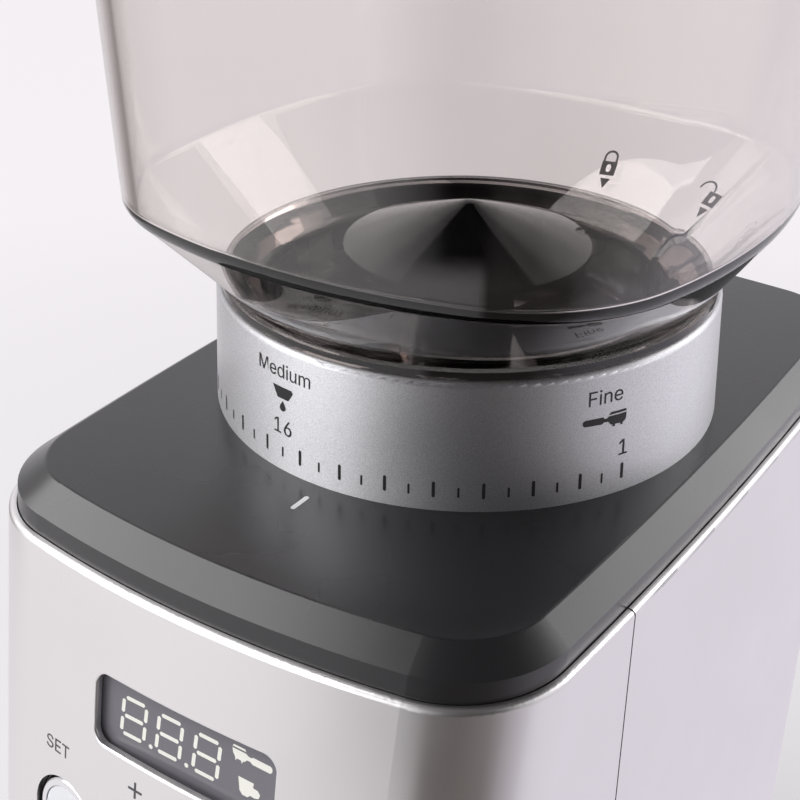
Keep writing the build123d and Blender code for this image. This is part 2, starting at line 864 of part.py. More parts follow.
with BuildPart() as cone_burr:
    turned([
        (shaft_radius + bore_gap, cone_bottom),
        (cone_burr_radius, cone_bottom),
        (cone_burr_radius, cone_mid),
        (cone_burr_top, cone_tip),
        (shaft_radius + bore_gap, cone_tip),
    ])
    for index in range(cone_burr_teeth):
        add(cone_cutter.rotate(grind_axis, index * 360 / cone_burr_teeth), mode=Mode.SUBTRACT)
finish(cone_burr, "cone_burr")

# Shaft, nut and sweeper
sweeper_bottom = cone_bottom - sweeper_thickness
sweeper_radius = chamber_inner - sweeper_gap

with BuildPart() as burr_shaft:
    disc(shaft_radius, lower_bearing_bottom, cone_tip + nut_height)
finish(burr_shaft, "burr_shaft")

with BuildPart() as burr_nut:
    with BuildSketch(axis_plane.offset(cone_tip)):
        RegularPolygon(nut_width / 2, 6, major_radius=False)
        Circle(shaft_radius + bore_gap, mode=Mode.SUBTRACT)
    extrude(amount=nut_height)
finish(burr_nut, "burr_nut")

with BuildPart() as sweeper:
    disc(sweeper_radius, sweeper_bottom, cone_bottom)
    for index in range(paddle_count):
        with BuildSketch(axis_plane.offset(cone_bottom).rotated((0, 0, index * 360 / paddle_count))):
            with Locations((sweeper_radius - paddle_length / 2 - paddle_inset, 0)):
                RectangleRounded(paddle_length, paddle_width, paddle_width / 3)
        extrude(amount=paddle_height)
    disc(shaft_radius + bore_gap, sweeper_bottom, cone_bottom, mode=Mode.SUBTRACT)
finish(sweeper, "sweeper")


# Gear and pinion with involute flanks
def gear_face(teeth, bore):
    pitch = gear_module * teeth / 2
    base_circle = pitch * cos(radians(pressure_angle))
    tip = pitch + addendum * gear_module
    root = pitch - dedendum * gear_module
    start = max(base_circle, root)

    def involute(radius):
        roll = sqrt(max((radius / base_circle) ** 2 - 1, 0))
        return roll - (pi / 2 - asin(min(base_circle / radius, 1)))

    half_tooth = pi / (2 * teeth) - backlash / (2 * pitch)

    def at(radius, centre, side):
        angle = centre + side * (half_tooth + involute(pitch) - involute(max(radius, base_circle)))
        return (radius * cos(angle), radius * sin(angle))

    with BuildLine() as border:
        for index in range(teeth):
            centre = 2 * pi * index / teeth
            following = 2 * pi * (index + 1) / teeth
            middle = (start + tip) / 2
            if root < start:
                Line(at(root, centre, -1), at(start, centre, -1))
                Line(at(start, centre, 1), at(root, centre, 1))
            ThreePointArc(at(start, centre, -1), at(middle, centre, -1), at(tip, centre, -1))
            Line(at(tip, centre, -1), at(tip, centre, 1))
            ThreePointArc(at(tip, centre, 1), at(middle, centre, 1), at(start, centre, 1))
            Line(at(root, centre, 1), at(root, following, -1))
    make_face(border.edges())
    Circle(bore, mode=Mode.SUBTRACT)


gear_bottom = lower_bearing_bottom + bearing_height + moving_gap
gear_middle = gear_bottom + gear_height / 2
gear_rim_inner = gear_module * (gear_teeth / 2 - dedendum) - gear_rim
web_sink = (gear_height - gear_web) / 2

with BuildPart() as drive_gear:
    with BuildSketch(axis_plane.offset(gear_bottom)):
        gear_face(gear_teeth, shaft_radius + bore_gap)
    extrude(amount=gear_height)
    for level in (gear_bottom, gear_bottom + gear_height - web_sink):
        with BuildSketch(axis_plane.offset(level)):
            Circle(gear_rim_inner)
            Circle(gear_hub, mode=Mode.SUBTRACT)
        extrude(amount=web_sink, mode=Mode.SUBTRACT)
    with BuildSketch(axis_plane.offset(gear_bottom)):
        with PolarLocations((gear_hub + gear_rim_inner) / 2, gear_hole_count):
            Circle(gear_hole)
    extrude(amount=gear_height, mode=Mode.SUBTRACT)
finish(drive_gear, "drive_gear")

pinion_bottom = gear_middle - pinion_height / 2

with BuildPart() as pinion:
    with BuildSketch(Plane((0, motor_y, pinion_bottom)).rotated((0, 0, 90))):
        gear_face(pinion_teeth, motor_shaft_radius + bore_gap)
    extrude(amount=pinion_height)
finish(pinion, "pinion")

# Motor under the deck, on a rubber damper
motor_top = deck_bottom - damper_thickness

with BuildPart() as motor:
    disc(motor_radius, motor_top - motor_height, motor_top, y=motor_y)
    fillet(motor.edges().filter_by(GeomType.CIRCLE), motor_edge)
    with BuildSketch(Plane((0, motor_y, motor_top - (motor_height + motor_slot_length) / 2))):
        with PolarLocations(motor_radius, motor_slot_count):
            Rectangle(2 * motor_slot_depth, motor_slot_width)
    extrude(amount=motor_slot_length, mode=Mode.SUBTRACT)
    disc(motor_nose, motor_top, case_bottom, y=motor_y)
    disc(
        motor_shaft_radius + bearing_gap, case_bottom - motor_shaft_depth, case_bottom,
        y=motor_y, mode=Mode.SUBTRACT,
    )
finish(motor, "motor")

with BuildPart() as motor_damper:
    disc(damper_radius, motor_top, deck_bottom, y=motor_y)
    disc(motor_nose + sheet_gap, motor_top, deck_bottom, y=motor_y, mode=Mode.SUBTRACT)
finish(motor_damper, "motor_damper")

with BuildPart() as motor_shaft:
    disc(motor_shaft_radius, case_bottom - motor_shaft_depth, pinion_bottom + pinion_height, y=motor_y)
finish(motor_shaft, "motor_shaft")

# Chute from the chamber's spout down into the bay
chute_top = spout_bottom + spout_height
chute_bottom = floor_bottom - chute_drop


def chute_profile(inset, mouth):
    """Side view of the duct: in at the back, down at the front, with a slope at the bend."""
    back = axis_y - spout_reach
    with BuildLine() as border:
        Polyline(
            (back + mouth, spout_bottom + inset),
            (back + mouth, chute_top - inset),
            (chute_front + chute_slope, chute_top - inset),
            (chute_front + inset, chute_top - chute_slope),
            (chute_front + inset, chute_bottom - mouth),
            (chute_back - inset, chute_bottom - mouth),
            (chute_back - inset, spout_bottom + inset),
            close=True,
        )
    make_face(border.edges())


with BuildPart() as chute:
    with BuildSketch(Plane.YZ):
        chute_profile(0, 0)
    extrude(amount=chute_width / 2, both=True)
    with BuildSketch(Plane.YZ):
        chute_profile(duct_wall, cut_over)
    extrude(amount=chute_width / 2 - duct_wall, both=True, mode=Mode.SUBTRACT)
finish(chute, "chute")


# Hopper: neck with lugs, funnel from round to square, tall walls and a ported floor
def hopper_outline(half, inset=0.0):
    for x, y in ((1, 0), (-1, 0), (0, 1), (0, -1)):
        with Locations((x * (half - hopper_bow), axis_y + y * (half - hopper_bow))):
            Circle(hopper_bow - inset, mode=Mode.ADD if (x, y) == (1, 0) else Mode.INTERSECT)
    fillet(vertices(), hopper_corner - inset)


def hopper_walls(inset, neck, neck_level, fold_level, rim_level, mode=Mode.ADD):
    rim_half = hopper_half + (rim_level - plate_top - fold_height) * tan(radians(hopper_draft))
    with BuildSketch(Plane.XY.offset(neck_level)) as throat:
        with Locations((0, axis_y)):
            Circle(neck)
    with BuildSketch(Plane.XY.offset(fold_level)) as fold:
        hopper_outline(hopper_half, inset)
    with BuildSketch(Plane.XY.offset(rim_level)) as rim:
        hopper_outline(rim_half, inset)
    loft([throat.sketch, fold.sketch], ruled=True, mode=mode)
    loft([fold.sketch, rim.sketch], ruled=True, mode=mode)


neck_radius = seat_inner - neck_gap
neck_inner = neck_radius - hopper_wall
port_outer = neck_inner - port_margin
lug_angle = entry_angle - entry_clearance
seat_top = plate_top + seat_height
neck_level = plate_top + neck_bottom
flange_level = collar_top + moving_gap
funnel_level = flange_level + hopper_flange_height
shoulder_radius = collar_radius - collar_wall - moving_gap
floor_top = neck_level + gate_thickness
rim_level = plate_top + hopper_rim
fold_level = plate_top + fold_height
cone_level = plate_top + cone_base


def ports(bottom, top, turn):
    for index in range(port_count):
        ring_sector(
            port_inner, port_outer, port_angle, turn + index * 360 / port_count,
            bottom, top, mode=Mode.SUBTRACT,
        )


with BuildPart() as hopper:
    disc(neck_radius, neck_level, funnel_level)
    disc(shoulder_radius, seat_top, funnel_level)
    disc(hopper_flange, flange_level, funnel_level)
    hopper_walls(0, hopper_flange - hopper_flange_height, funnel_level, fold_level, rim_level)
    disc(neck_inner, floor_top, funnel_level + hopper_wall, mode=Mode.SUBTRACT)
    hopper_walls(
        hopper_wall, neck_inner, seat_top + hopper_wall, fold_level + hopper_wall / 2, rim_level,
        mode=Mode.SUBTRACT,
    )
    ports(neck_level, floor_top, 0)
    disc(pivot_radius + bearing_gap, neck_level, floor_top, mode=Mode.SUBTRACT)
    for angle in lug_angles:
        ring_sector(
            neck_radius - hopper_wall / 2, seat_radius - sheet_gap, lug_angle, angle,
            lug_low, lug_low + lug_height,
        )
finish(hopper, "hopper")

gate_bottom = plate_top + gate_rise
gate_top = gate_bottom + gate_thickness

with BuildPart() as bean_gate:
    disc(neck_radius, gate_bottom, gate_top)
    for angle in lug_angles:
        ring_sector(
            neck_radius - hopper_wall, seat_radius - sheet_gap, lug_angle, angle, gate_bottom, gate_top
        )
    ports(gate_bottom, gate_top, 180 / port_count)
    disc(pivot_radius, gate_top, floor_top + pivot_height)
finish(bean_gate, "bean_gate")

clip_bottom = floor_top + moving_gap
cone_stem = pivot_radius + cone_stem_wall + moving_gap

with BuildPart() as gate_clip:
    disc(pivot_radius + cone_stem_wall, clip_bottom, clip_bottom + gate_thickness)
    disc(pivot_radius + bore_gap, clip_bottom, clip_bottom + gate_thickness, mode=Mode.SUBTRACT)
finish(gate_clip, "gate_clip")

cone_slope = atan2(cone_top - cone_base - cone_rim, cone_radius)
tip_centre = plate_top + cone_top - cone_tip_round / cos(cone_slope)
stem_outer = cone_stem + cone_stem_wall
hollow_reach = cone_radius - cone_stem_wall


def tip_point(angle):
    return (cone_tip_round * sin(angle), tip_centre + cone_tip_round * cos(angle))


with BuildPart() as guard_cone:
    with BuildSketch(radius_plane):
        with BuildLine():
            Polyline(
                tip_point(0),
                (0, cone_level),
                (cone_radius, cone_level),
                (cone_radius, cone_level + cone_rim),
                tip_point(cone_slope),
            )
            ThreePointArc(tip_point(cone_slope), tip_point(cone_slope / 2), tip_point(0))
        make_face()
    revolve(axis=grind_axis)
    turned([
        (stem_outer, cone_level),
        (hollow_reach, cone_level),
        (stem_outer, cone_level + (hollow_reach - stem_outer) * tan(cone_slope)),
    ], mode=Mode.SUBTRACT)
    disc(stem_outer, floor_top, cone_level)
    disc(cone_stem, floor_top, cone_level, mode=Mode.SUBTRACT)
finish(guard_cone, "guard_cone")

# Hopper lid with a moulded grip, and its seal
rim_half = hopper_half + (hopper_rim - fold_height) * tan(radians(hopper_draft))
lid_top = rim_level + lid_thickness
skirt_inset = hopper_wall + skirt_clearance
skirt_bottom = rim_level - lid_skirt
seal_bottom = skirt_bottom + (lid_skirt - seal_height) / 2


def hopper_prism(inset, bottom, top, mode=Mode.ADD):
    with BuildSketch(Plane.XY.offset(bottom)) as profile:
        hopper_outline(rim_half, inset)
    extrude(profile.sketch, amount=top - bottom, mode=mode)


with BuildPart() as hopper_lid:
    with BuildSketch(Plane.XY.offset(rim_level)):
        hopper_outline(rim_half + lid_overhang)
    extrude(amount=lid_thickness)
    fillet(hopper_lid.edges().group_by(Axis.Z)[-1], lid_round)
    hopper_prism(skirt_inset, skirt_bottom, rim_level)
    hopper_prism(skirt_inset + lid_wall, skirt_bottom, rim_level, mode=Mode.SUBTRACT)
    with BuildSketch(Plane.XY.offset(lid_top)):
        with Locations((0, axis_y)):
            SlotOverall(grip_length, grip_width)
    extrude(amount=grip_height, taper=grip_taper)
    fillet(hopper_lid.edges().group_by(Axis.Z)[-1], grip_round)
finish(hopper_lid, "hopper_lid")

with BuildPart() as lid_seal:
    hopper_prism(skirt_inset - seal_depth, seal_bottom, seal_bottom + seal_height)
    hopper_prism(skirt_inset - bore_gap, seal_bottom, seal_bottom + seal_height, mode=Mode.SUBTRACT)
finish(lid_seal, "lid_seal")

# Grounds container and its lid, in the bay
container_y = bay_back - moving_gap - container_depth / 2 - container_clearance
container_top = base_top + container_height
container_lean = tan(radians(container_draft)) * container_height


def container_face(level, inset):
    with BuildSketch(Plane((0, container_y, level))) as face:
        RectangleRounded(container_width - 2 * inset, container_depth - 2 * inset, container_corner - inset)
    return face.sketch


with BuildPart() as grounds_container:
    loft([container_face(base_top, container_lean), container_face(container_top, 0)], ruled=True)
    fillet(grounds_container.edges().group_by(Axis.Z)[0], container_foot_round)
    loft(
        [
            container_face(base_top + container_wall, container_lean + container_wall),
            container_face(container_top, container_wall),
        ],
        ruled=True,
        mode=Mode.SUBTRACT,
    )
finish(grounds_container, "grounds_container")

mouth_y = (chute_front + chute_back) / 2

with BuildPart() as container_lid:
    with BuildSketch(Plane((0, container_y, container_top))):
        RectangleRounded(container_width, container_depth, container_corner)
    extrude(amount=container_lid_thickness)
    fillet(container_lid.edges().group_by(Axis.Z)[-1], container_lid_round)
    skirt_gap = container_wall + container_skirt_clearance
    with BuildSketch(Plane((0, container_y, container_top - container_lid_skirt))):
        RectangleRounded(
            container_width - 2 * skirt_gap, container_depth - 2 * skirt_gap, container_corner - skirt_gap
        )
        offset(amount=-container_wall, mode=Mode.SUBTRACT)
    extrude(amount=container_lid_skirt)
    mouth_outer = container_mouth + 2 * mouth_rim
    with BuildSketch(Plane((0, mouth_y, container_top))):
        RectangleRounded(mouth_outer, mouth_outer, mouth_rim + duct_wall)
    extrude(amount=container_lid_thickness + mouth_rim)
    with BuildSketch(Plane((0, mouth_y, container_top))):
        RectangleRounded(container_mouth, container_mouth, mouth_rim)
    extrude(amount=container_lid_thickness + mouth_rim, mode=Mode.SUBTRACT)
finish(container_lid, "container_lid")

# Power board in the column, and the switch that feels the hopper
board_y = axis_y + post_back + post_radius + sheet_gap
board_bottom = base_top + power_board_rise
board_middle = board_bottom + power_board_height / 2
component_plane = Plane((0, board_y, board_middle), x_dir=(1, 0, 0), z_dir=(0, -1, 0))

with BuildPart() as power_board:
    block(
        (-post_side, post_side),
        (board_y, board_y + board_thickness),
        (board_bottom, board_bottom + power_board_height),
    )
    with Locations((-post_side / 2, board_y - relay_size[1] / 2, board_middle)):
        Box(*relay_size)
    with Locations((post_side / 2, board_y - terminal_size[1] / 2, board_bottom + terminal_size[2])):
        Box(*terminal_size)
    with BuildSketch(component_plane):
        with GridLocations(0, 3 * capacitor_radius, 1, 2):
            Circle(capacitor_radius)
    extrude(amount=capacitor_length)
finish(power_board, "power_board")

switch_wide, switch_deep, switch_tall = hopper_switch_size
switch_y = axis_y + seat_radius + seat_flange + plastic
switch_top = plate_top - plate_thickness
plunger_plane = Plane(
    (0, switch_y, seat_bottom + seat_flange_height / 2), x_dir=(1, 0, 0), z_dir=(0, -1, 0)
)

with BuildPart() as hopper_switch:
    block(
        (-switch_wide / 2, switch_wide / 2),
        (switch_y, switch_y + switch_deep),
        (switch_top - switch_tall, switch_top),
    )
    with BuildSketch(plunger_plane):
        Circle(plunger_radius)
    extrude(amount=plastic - moving_gap)
finish(hopper_switch, "hopper_switch")
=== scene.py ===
from math import atan2, cos, degrees, hypot, pi, radians, sin, sqrt, tan

import bmesh
import bpy
from mathutils import Matrix, Vector


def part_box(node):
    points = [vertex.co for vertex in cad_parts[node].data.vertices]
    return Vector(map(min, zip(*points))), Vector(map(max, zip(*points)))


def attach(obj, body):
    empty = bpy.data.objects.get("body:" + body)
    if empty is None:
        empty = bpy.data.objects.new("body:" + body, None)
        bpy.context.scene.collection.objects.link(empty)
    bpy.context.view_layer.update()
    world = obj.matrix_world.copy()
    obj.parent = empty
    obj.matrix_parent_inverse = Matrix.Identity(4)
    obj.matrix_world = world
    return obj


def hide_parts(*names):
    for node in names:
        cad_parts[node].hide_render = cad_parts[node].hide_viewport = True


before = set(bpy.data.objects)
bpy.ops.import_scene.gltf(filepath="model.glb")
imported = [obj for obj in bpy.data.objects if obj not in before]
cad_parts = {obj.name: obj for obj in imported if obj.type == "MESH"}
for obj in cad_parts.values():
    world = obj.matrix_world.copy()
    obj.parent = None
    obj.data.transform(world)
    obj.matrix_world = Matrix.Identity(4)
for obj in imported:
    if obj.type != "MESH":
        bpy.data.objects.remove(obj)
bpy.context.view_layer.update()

# Places taken from the parts of model.glb. Sizes are in millimetres and MM makes them metres
MM = 0.001
collar_low, collar_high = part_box("adjust_collar")
panel_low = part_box("front_panel")[0]
lens_low, lens_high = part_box("display_lens")
hopper_low, hopper_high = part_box("hopper")
axis = Vector(((collar_low.x + collar_high.x) / 2, (collar_low.y + collar_high.y) / 2, collar_low.z))
collar_radius = (collar_high.x - collar_low.x) / 2 / MM
plate_level = axis.z / MM

# Form of the curved faces that carry prints
collar_taper = 1.25 / 26.6
front_bow = 258.0
front_lean = radians(10.5)
front_slope = tan(front_lean)
print_lift = 0.04


def row_point(x, y, z):
    """A point measured in millimetres from the collar's axis at the plate's top."""
    return axis + Vector((x, y, z)) * MM


def collar_place(angle, height):
    """Gives the place of a print on the collar: across to the right, up along the collar."""
    def place(across, up):
        level = height + up
        radius = collar_radius - collar_taper * level + print_lift
        turn = angle + across / radius
        return row_point(radius * cos(turn), radius * sin(turn), level)
    return place


def front_place(x, level):
    """Gives the place of a print on the leaning, bowed front panel."""
    def place(across, up):
        side = x + across
        height = level + up * cos(front_lean)
        middle = panel_low.y / MM - axis.y / MM + (height - (panel_low.z - axis.z) / MM) * front_slope
        bow = front_bow - sqrt(front_bow**2 - side**2)
        return row_point(side, middle + bow - print_lift, height)
    return place


# Nodes of materials and of the world
mix_first, mix_second, mix_result = 6, 7, 2


def set_inputs(node, values):
    for socket, value in values.items():
        node.inputs[socket].default_value = value


def chain(tree, operation, first, second):
    """One step of arithmetic between two values or sockets."""
    step = tree.nodes.new("ShaderNodeMath")
    step.operation = operation
    for socket, value in zip(step.inputs, (first, second)):
        if isinstance(value, (int, float)):
            socket.default_value = value
        else:
            tree.links.new(value, socket)
    return step.outputs["Value"]


def ramp_node(tree, value, stops):
    """Colours along a value, each stop as position and colour."""
    ramp = tree.nodes.new("ShaderNodeValToRGB")
    elements = ramp.color_ramp.elements
    while len(elements) < len(stops):
        elements.new(1.0)
    for element, (position, colour) in zip(elements, stops):
        element.position = position
        element.color = (*colour, 1)
    tree.links.new(value, ramp.inputs["Fac"])
    return ramp.outputs["Color"]


def mix_node(tree, share, first, second):
    """A blend of two colours, each a tuple or a socket."""
    mix = tree.nodes.new("ShaderNodeMix")
    mix.data_type = "RGBA"
    tree.links.new(share, mix.inputs["Factor"])
    for socket, colour in ((mix.inputs[mix_first], first), (mix.inputs[mix_second], second)):
        if isinstance(colour, tuple):
            socket.default_value = (*colour, 1)
        else:
            tree.links.new(colour, socket)
    return mix.outputs[mix_result]


def span_node(tree, value, span):
    """A value brought from one span to another, by default to 0 and 1."""
    node = tree.nodes.new("ShaderNodeMapRange")
    set_inputs(node, span)
    tree.links.new(value, node.inputs["Value"])
    return node.outputs["Result"]


# Materials. The levels of the hopper's foot are over the plate
noise_low, noise_high = 0.3, 0.7
mottle_low, mottle_high = 0.35, 0.65
clear_tint = (0.98, 0.975, 0.97)
# The tint of the hopper's foot is painted shade, darker than the clear plastic
foot_shade_tint = (0.34, 0.31, 0.30)
foot_low, foot_high = 8.0, 38.0


def new_material(name, colour, roughness, metallic=0.0):
    made = bpy.data.materials.new(name)
    made.use_nodes = True
    shader = made.node_tree.nodes["Principled BSDF"]
    set_inputs(shader, {"Base Color": (*colour, 1), "Roughness": roughness, "Metallic": metallic})
    return made, shader


def noise_node(made, scale, stretch=(1, 1, 1), detail=3.0):
    nodes, links = made.node_tree.nodes, made.node_tree.links
    place = nodes.new("ShaderNodeTexCoord")
    mapping = nodes.new("ShaderNodeMapping")
    mapping.inputs["Scale"].default_value = stretch
    noise = nodes.new("ShaderNodeTexNoise")
    set_inputs(noise, {"Scale": scale, "Detail": detail})
    links.new(place.outputs["Object"], mapping.inputs["Vector"])
    links.new(mapping.outputs["Vector"], noise.inputs["Vector"])
    return noise


def uneven_gloss(made, shader, scale, spread, stretch=(1, 1, 1)):
    """Soft patches that are a little duller or glossier."""
    tree = made.node_tree
    base = shader.inputs["Roughness"].default_value
    noise = noise_node(made, scale, stretch)
    gloss = span_node(tree, noise.outputs["Fac"], {
        "From Min": noise_low, "From Max": noise_high, "To Min": base - spread, "To Max": base + spread,
    })
    tree.links.new(gloss, shader.inputs["Roughness"])


def fine_relief(made, shader, scale, depth, strength, stretch=(1, 1, 1)):
    """A fine grain in the surface."""
    links = made.node_tree.links
    noise = noise_node(made, scale, stretch, detail=2.0)
    bump = made.node_tree.nodes.new("ShaderNodeBump")
    set_inputs(bump, {"Strength": strength, "Distance": depth * MM})
    links.new(noise.outputs["Fac"], bump.inputs["Height"])
    links.new(bump.outputs["Normal"], shader.inputs["Normal"])


def mottled_colour(made, shader, scale, dark, light, stretch=(1, 1, 1)):
    """Colour that drifts between two near tones."""
    tree = made.node_tree
    noise = noise_node(made, scale, stretch)
    drift = ramp_node(tree, noise.outputs["Fac"], [(mottle_low, dark), (mottle_high, light)])
    tree.links.new(drift, shader.inputs["Base Color"])


def satin_steel():
    made, shader = new_material("satin_steel", (0.76, 0.745, 0.745), 0.3, 1.0)
    uneven_gloss(made, shader, 40, 0.03)
    fine_relief(made, shader, 900, 0.02, 0.12, stretch=(6, 6, 1))
    return made


def black_plastic():
    made, shader = new_material("black_plastic", (0.017, 0.0165, 0.018), 0.27)
    mottled_colour(made, shader, 18, (0.015, 0.0145, 0.016), (0.019, 0.0185, 0.02))
    uneven_gloss(made, shader, 25, 0.02)
    shader.inputs["IOR"].default_value = 1.6
    fine_relief(made, shader, 3500, 0.02, 0.12)
    return made


def silver_paint():
    made, shader = new_material("silver_paint", (0.64, 0.64, 0.66), 0.5, 0.95)
    mottled_colour(made, shader, 5200, (0.55, 0.55, 0.57), (0.75, 0.75, 0.77))
    set_inputs(shader, {"Anisotropic": 0.7, "Anisotropic Rotation": 0.25})
    around = made.node_tree.nodes.new("ShaderNodeTangent")
    around.direction_type = "RADIAL"
    around.axis = "Z"
    made.node_tree.links.new(around.outputs["Tangent"], shader.inputs["Tangent"])
    fine_relief(made, shader, 4200, 0.03, 0.35)
    return made


def painted_foot_shade(made, shader):
    """Paints shade into the hopper's foot, from the neck up to the flange: a darker tint for the shaded
    parts seen through it.
    """
    tree = made.node_tree
    place = tree.nodes.new("ShaderNodeTexCoord")
    parts = tree.nodes.new("ShaderNodeSeparateXYZ")
    tree.links.new(place.outputs["Object"], parts.inputs["Vector"])
    height = span_node(tree, parts.outputs["Z"], {
        "From Min": (plate_level + foot_low) * MM, "From Max": (plate_level + foot_high) * MM,
    })
    tint = ramp_node(tree, height, [
        (0.0, clear_tint), (0.02, foot_shade_tint), (0.66, foot_shade_tint), (0.70, clear_tint), (1.0, clear_tint),
    ])
    tree.links.new(tint, shader.inputs["Base Color"])


def smoky_clear():
    made, shader = new_material("smoky_clear", clear_tint, 0.01)
    set_inputs(shader, {"IOR": 1.57, "Transmission Weight": 1.0})
    fine_relief(made, shader, 60, 0.02, 0.03)
    # Painted shade: the hopper's clear foot is tinted darker
    painted_foot_shade(made, shader)
    absorption = made.node_tree.nodes.new("ShaderNodeVolumeAbsorption")
    set_inputs(absorption, {"Color": (0.56, 0.465, 0.425, 1), "Density": 90.0})
    output = made.node_tree.nodes["Material Output"]
    made.node_tree.links.new(absorption.outputs["Volume"], output.inputs["Volume"])
    return made


def gloss_black():
    made, shader = new_material("gloss_black", (0.004, 0.004, 0.0045), 0.07)
    uneven_gloss(made, shader, 60, 0.02)
    fine_relief(made, shader, 220, 0.02, 0.05)
    return made


def lens_dark():
    made, shader = new_material("lens_dark", (0.22, 0.212, 0.235), 0.16)
    shader.inputs["Specular IOR Level"].default_value = 0.15
    uneven_gloss(made, shader, 120, 0.03)
    return made


def bright_chrome():
    made, shader = new_material("bright_chrome", (0.78, 0.78, 0.79), 0.07, 1.0)
    uneven_gloss(made, shader, 300, 0.02)
    return made


def cap_white():
    made, shader = new_material("cap_white", (0.86, 0.87, 0.90), 0.22)
    uneven_gloss(made, shader, 200, 0.03)
    return made


def black_rubber():
    made, shader = new_material("black_rubber", (0.02, 0.02, 0.02), 0.75)
    fine_relief(made, shader, 2600, 0.05, 0.3)
    return made


def burr_steel():
    made, shader = new_material("burr_steel", (0.52, 0.51, 0.50), 0.3, 1.0)
    fine_relief(made, shader, 900, 0.03, 0.25, stretch=(1, 1, 8))
    return made


def motor_metal():
    made, shader = new_material("motor_metal", (0.34, 0.35, 0.36), 0.38, 1.0)
    mottled_colour(made, shader, 150, (0.29, 0.30, 0.31), (0.38, 0.39, 0.40))
    return made


def gear_plastic():
    made, shader = new_material("gear_plastic", (0.80, 0.79, 0.73), 0.45)
    fine_relief(made, shader, 2200, 0.02, 0.2)
    return made


def pinion_brass():
    made, shader = new_material("pinion_brass", (0.72, 0.53, 0.24), 0.28, 1.0)
    uneven_gloss(made, shader, 500, 0.05)
    return made


def board_green():
    made, shader = new_material("board_green", (0.03, 0.14, 0.06), 0.35)
    mottled_colour(made, shader, 700, (0.025, 0.12, 0.05), (0.04, 0.17, 0.075))
    return made


finishes = {
    satin_steel: ["front_panel", "rear_shell"],
    black_plastic: [
        "base", "bottom_cover", "top_plate", "main_frame", "button_guide", "hopper_seat", "grind_chamber",
        "gear_case", "burr_carrier", "chute", "hopper_lid", "container_lid", "bean_gate", "hopper_switch",
        "display_module", "button_switches", "sweeper",
    ],
    silver_paint: ["adjust_collar"],
    smoky_clear: ["hopper", "grounds_container"],
    gloss_black: ["guard_cone"],
    lens_dark: ["display_lens"],
    bright_chrome: ["button_set", "button_plus", "button_minus", "button_start"],
    cap_white: ["cap_set", "cap_plus", "cap_minus", "cap_start"],
    black_rubber: ["feet", "cord_gland", "lid_seal", "motor_damper"],
    burr_steel: [
        "ring_burr", "cone_burr", "burr_shaft", "burr_nut", "upper_bearing", "lower_bearing", "motor_shaft",
        "cover_screws", "gate_clip",
    ],
    motor_metal: ["motor"],
    gear_plastic: ["drive_gear"],
    pinion_brass: ["pinion"],
    board_green: ["control_board", "power_board"],
}
materials = {}
for finish, nodes in finishes.items():
    made = finish()
    materials[finish] = made
    for node in nodes:
        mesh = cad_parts[node].data
        mesh.materials.clear()
        mesh.materials.append(made)

# Inks of the prints, each as colour and roughness, and the lit segments of the display
ink_looks = {
    "dark_ink": ((0.018, 0.017, 0.02), 0.5),
    "grey_ink": ((0.075, 0.07, 0.075), 0.5),
    "smoke_ink": ((0.12, 0.10, 0.095), 0.5),
    "white_ink": ((0.88, 0.88, 0.88), 0.45),
    "lit_segments": ((0.66, 0.65, 0.60), 0.4),
}
ink_grain = 900
ink_spread = 0.05
segment_glow = {"Emission Color": (1.0, 0.975, 0.915, 1), "Emission Strength": 0.3}
inks = {}
for name, (colour, roughness) in ink_looks.items():
    inks[name], shader = new_material(name, colour, roughness)
    uneven_gloss(inks[name], shader, ink_grain, ink_spread)
    if name == "lit_segments":
        set_inputs(shader, segment_glow)


# Prints: flat outlines that are laid on a curved face
def new_piece(name, mesh, material, body):
    piece = bpy.data.objects.new(name, mesh)
    bpy.context.scene.collection.objects.link(piece)
    mesh.materials.clear()
    mesh.materials.append(material)
    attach(piece, body)
    return piece


def flat_mesh(curve):
    """The filled outline as triangles, in millimetres."""
    carrier = bpy.data.objects.new("carrier", curve)
    bpy.context.scene.collection.objects.link(carrier)
    seen = carrier.evaluated_get(bpy.context.evaluated_depsgraph_get())
    mesh = bpy.data.meshes.new_from_object(seen)
    bpy.data.objects.remove(carrier)
    return mesh


letter_font = bpy.data.fonts.load(bpy.utils.system_resource("DATAFILES", path="fonts") + "/Inter.woff2")


def letters(text):
    curve = bpy.data.curves.new("letters", "FONT")
    curve.font = letter_font
    curve.body = text
    return flat_mesh(curve)


def words(text, height, width=None):
    """Letters round their middle, with capitals of the given height and of the given width in all."""
    mesh = letters(text)
    scale = height / max(vertex.co.y for vertex in letters("H").vertices)
    points = [vertex.co for vertex in mesh.vertices]
    left = min(point.x for point in points)
    right = max(point.x for point in points)
    stretch = width / (right - left) if width else scale
    for point in points:
        point.x = (point.x - (left + right) / 2) * stretch
        point.y = point.y * scale
    return mesh


def outline(*loops):
    """A filled figure of closed loops of points. A loop within another is a hole."""
    curve = bpy.data.curves.new("outline", "CURVE")
    curve.dimensions = "2D"
    curve.fill_mode = "BOTH"
    for loop in loops:
        spline = curve.splines.new("POLY")
        spline.points.add(len(loop) - 1)
        for point, (x, y) in zip(spline.points, loop):
            point.co = (x, y, 0, 1)
        spline.use_cyclic_u = True
    return flat_mesh(curve)


def arc(centre, radius, start, end, steps=10):
    return [
        (
            centre[0] + radius * cos(radians(start + (end - start) * step / steps)),
            centre[1] + radius * sin(radians(start + (end - start) * step / steps)),
        )
        for step in range(steps + 1)
    ]


def rounded_bar(low, high, width, x=0.0):
    """An upright bar with round ends."""
    half = width / 2
    return arc((x, high - half), half, 0, 180, 6) + arc((x, low + half), half, 180, 360, 6)


def rounded_box(low, high, radius):
    (left, bottom), (right, top) = low, high
    return (
        arc((right - radius, top - radius), radius, 0, 90, 5)
        + arc((left + radius, top - radius), radius, 90, 180, 5)
        + arc((left + radius, bottom + radius), radius, 180, 270, 5)
        + arc((right - radius, bottom + radius), radius, 270, 360, 5)
    )


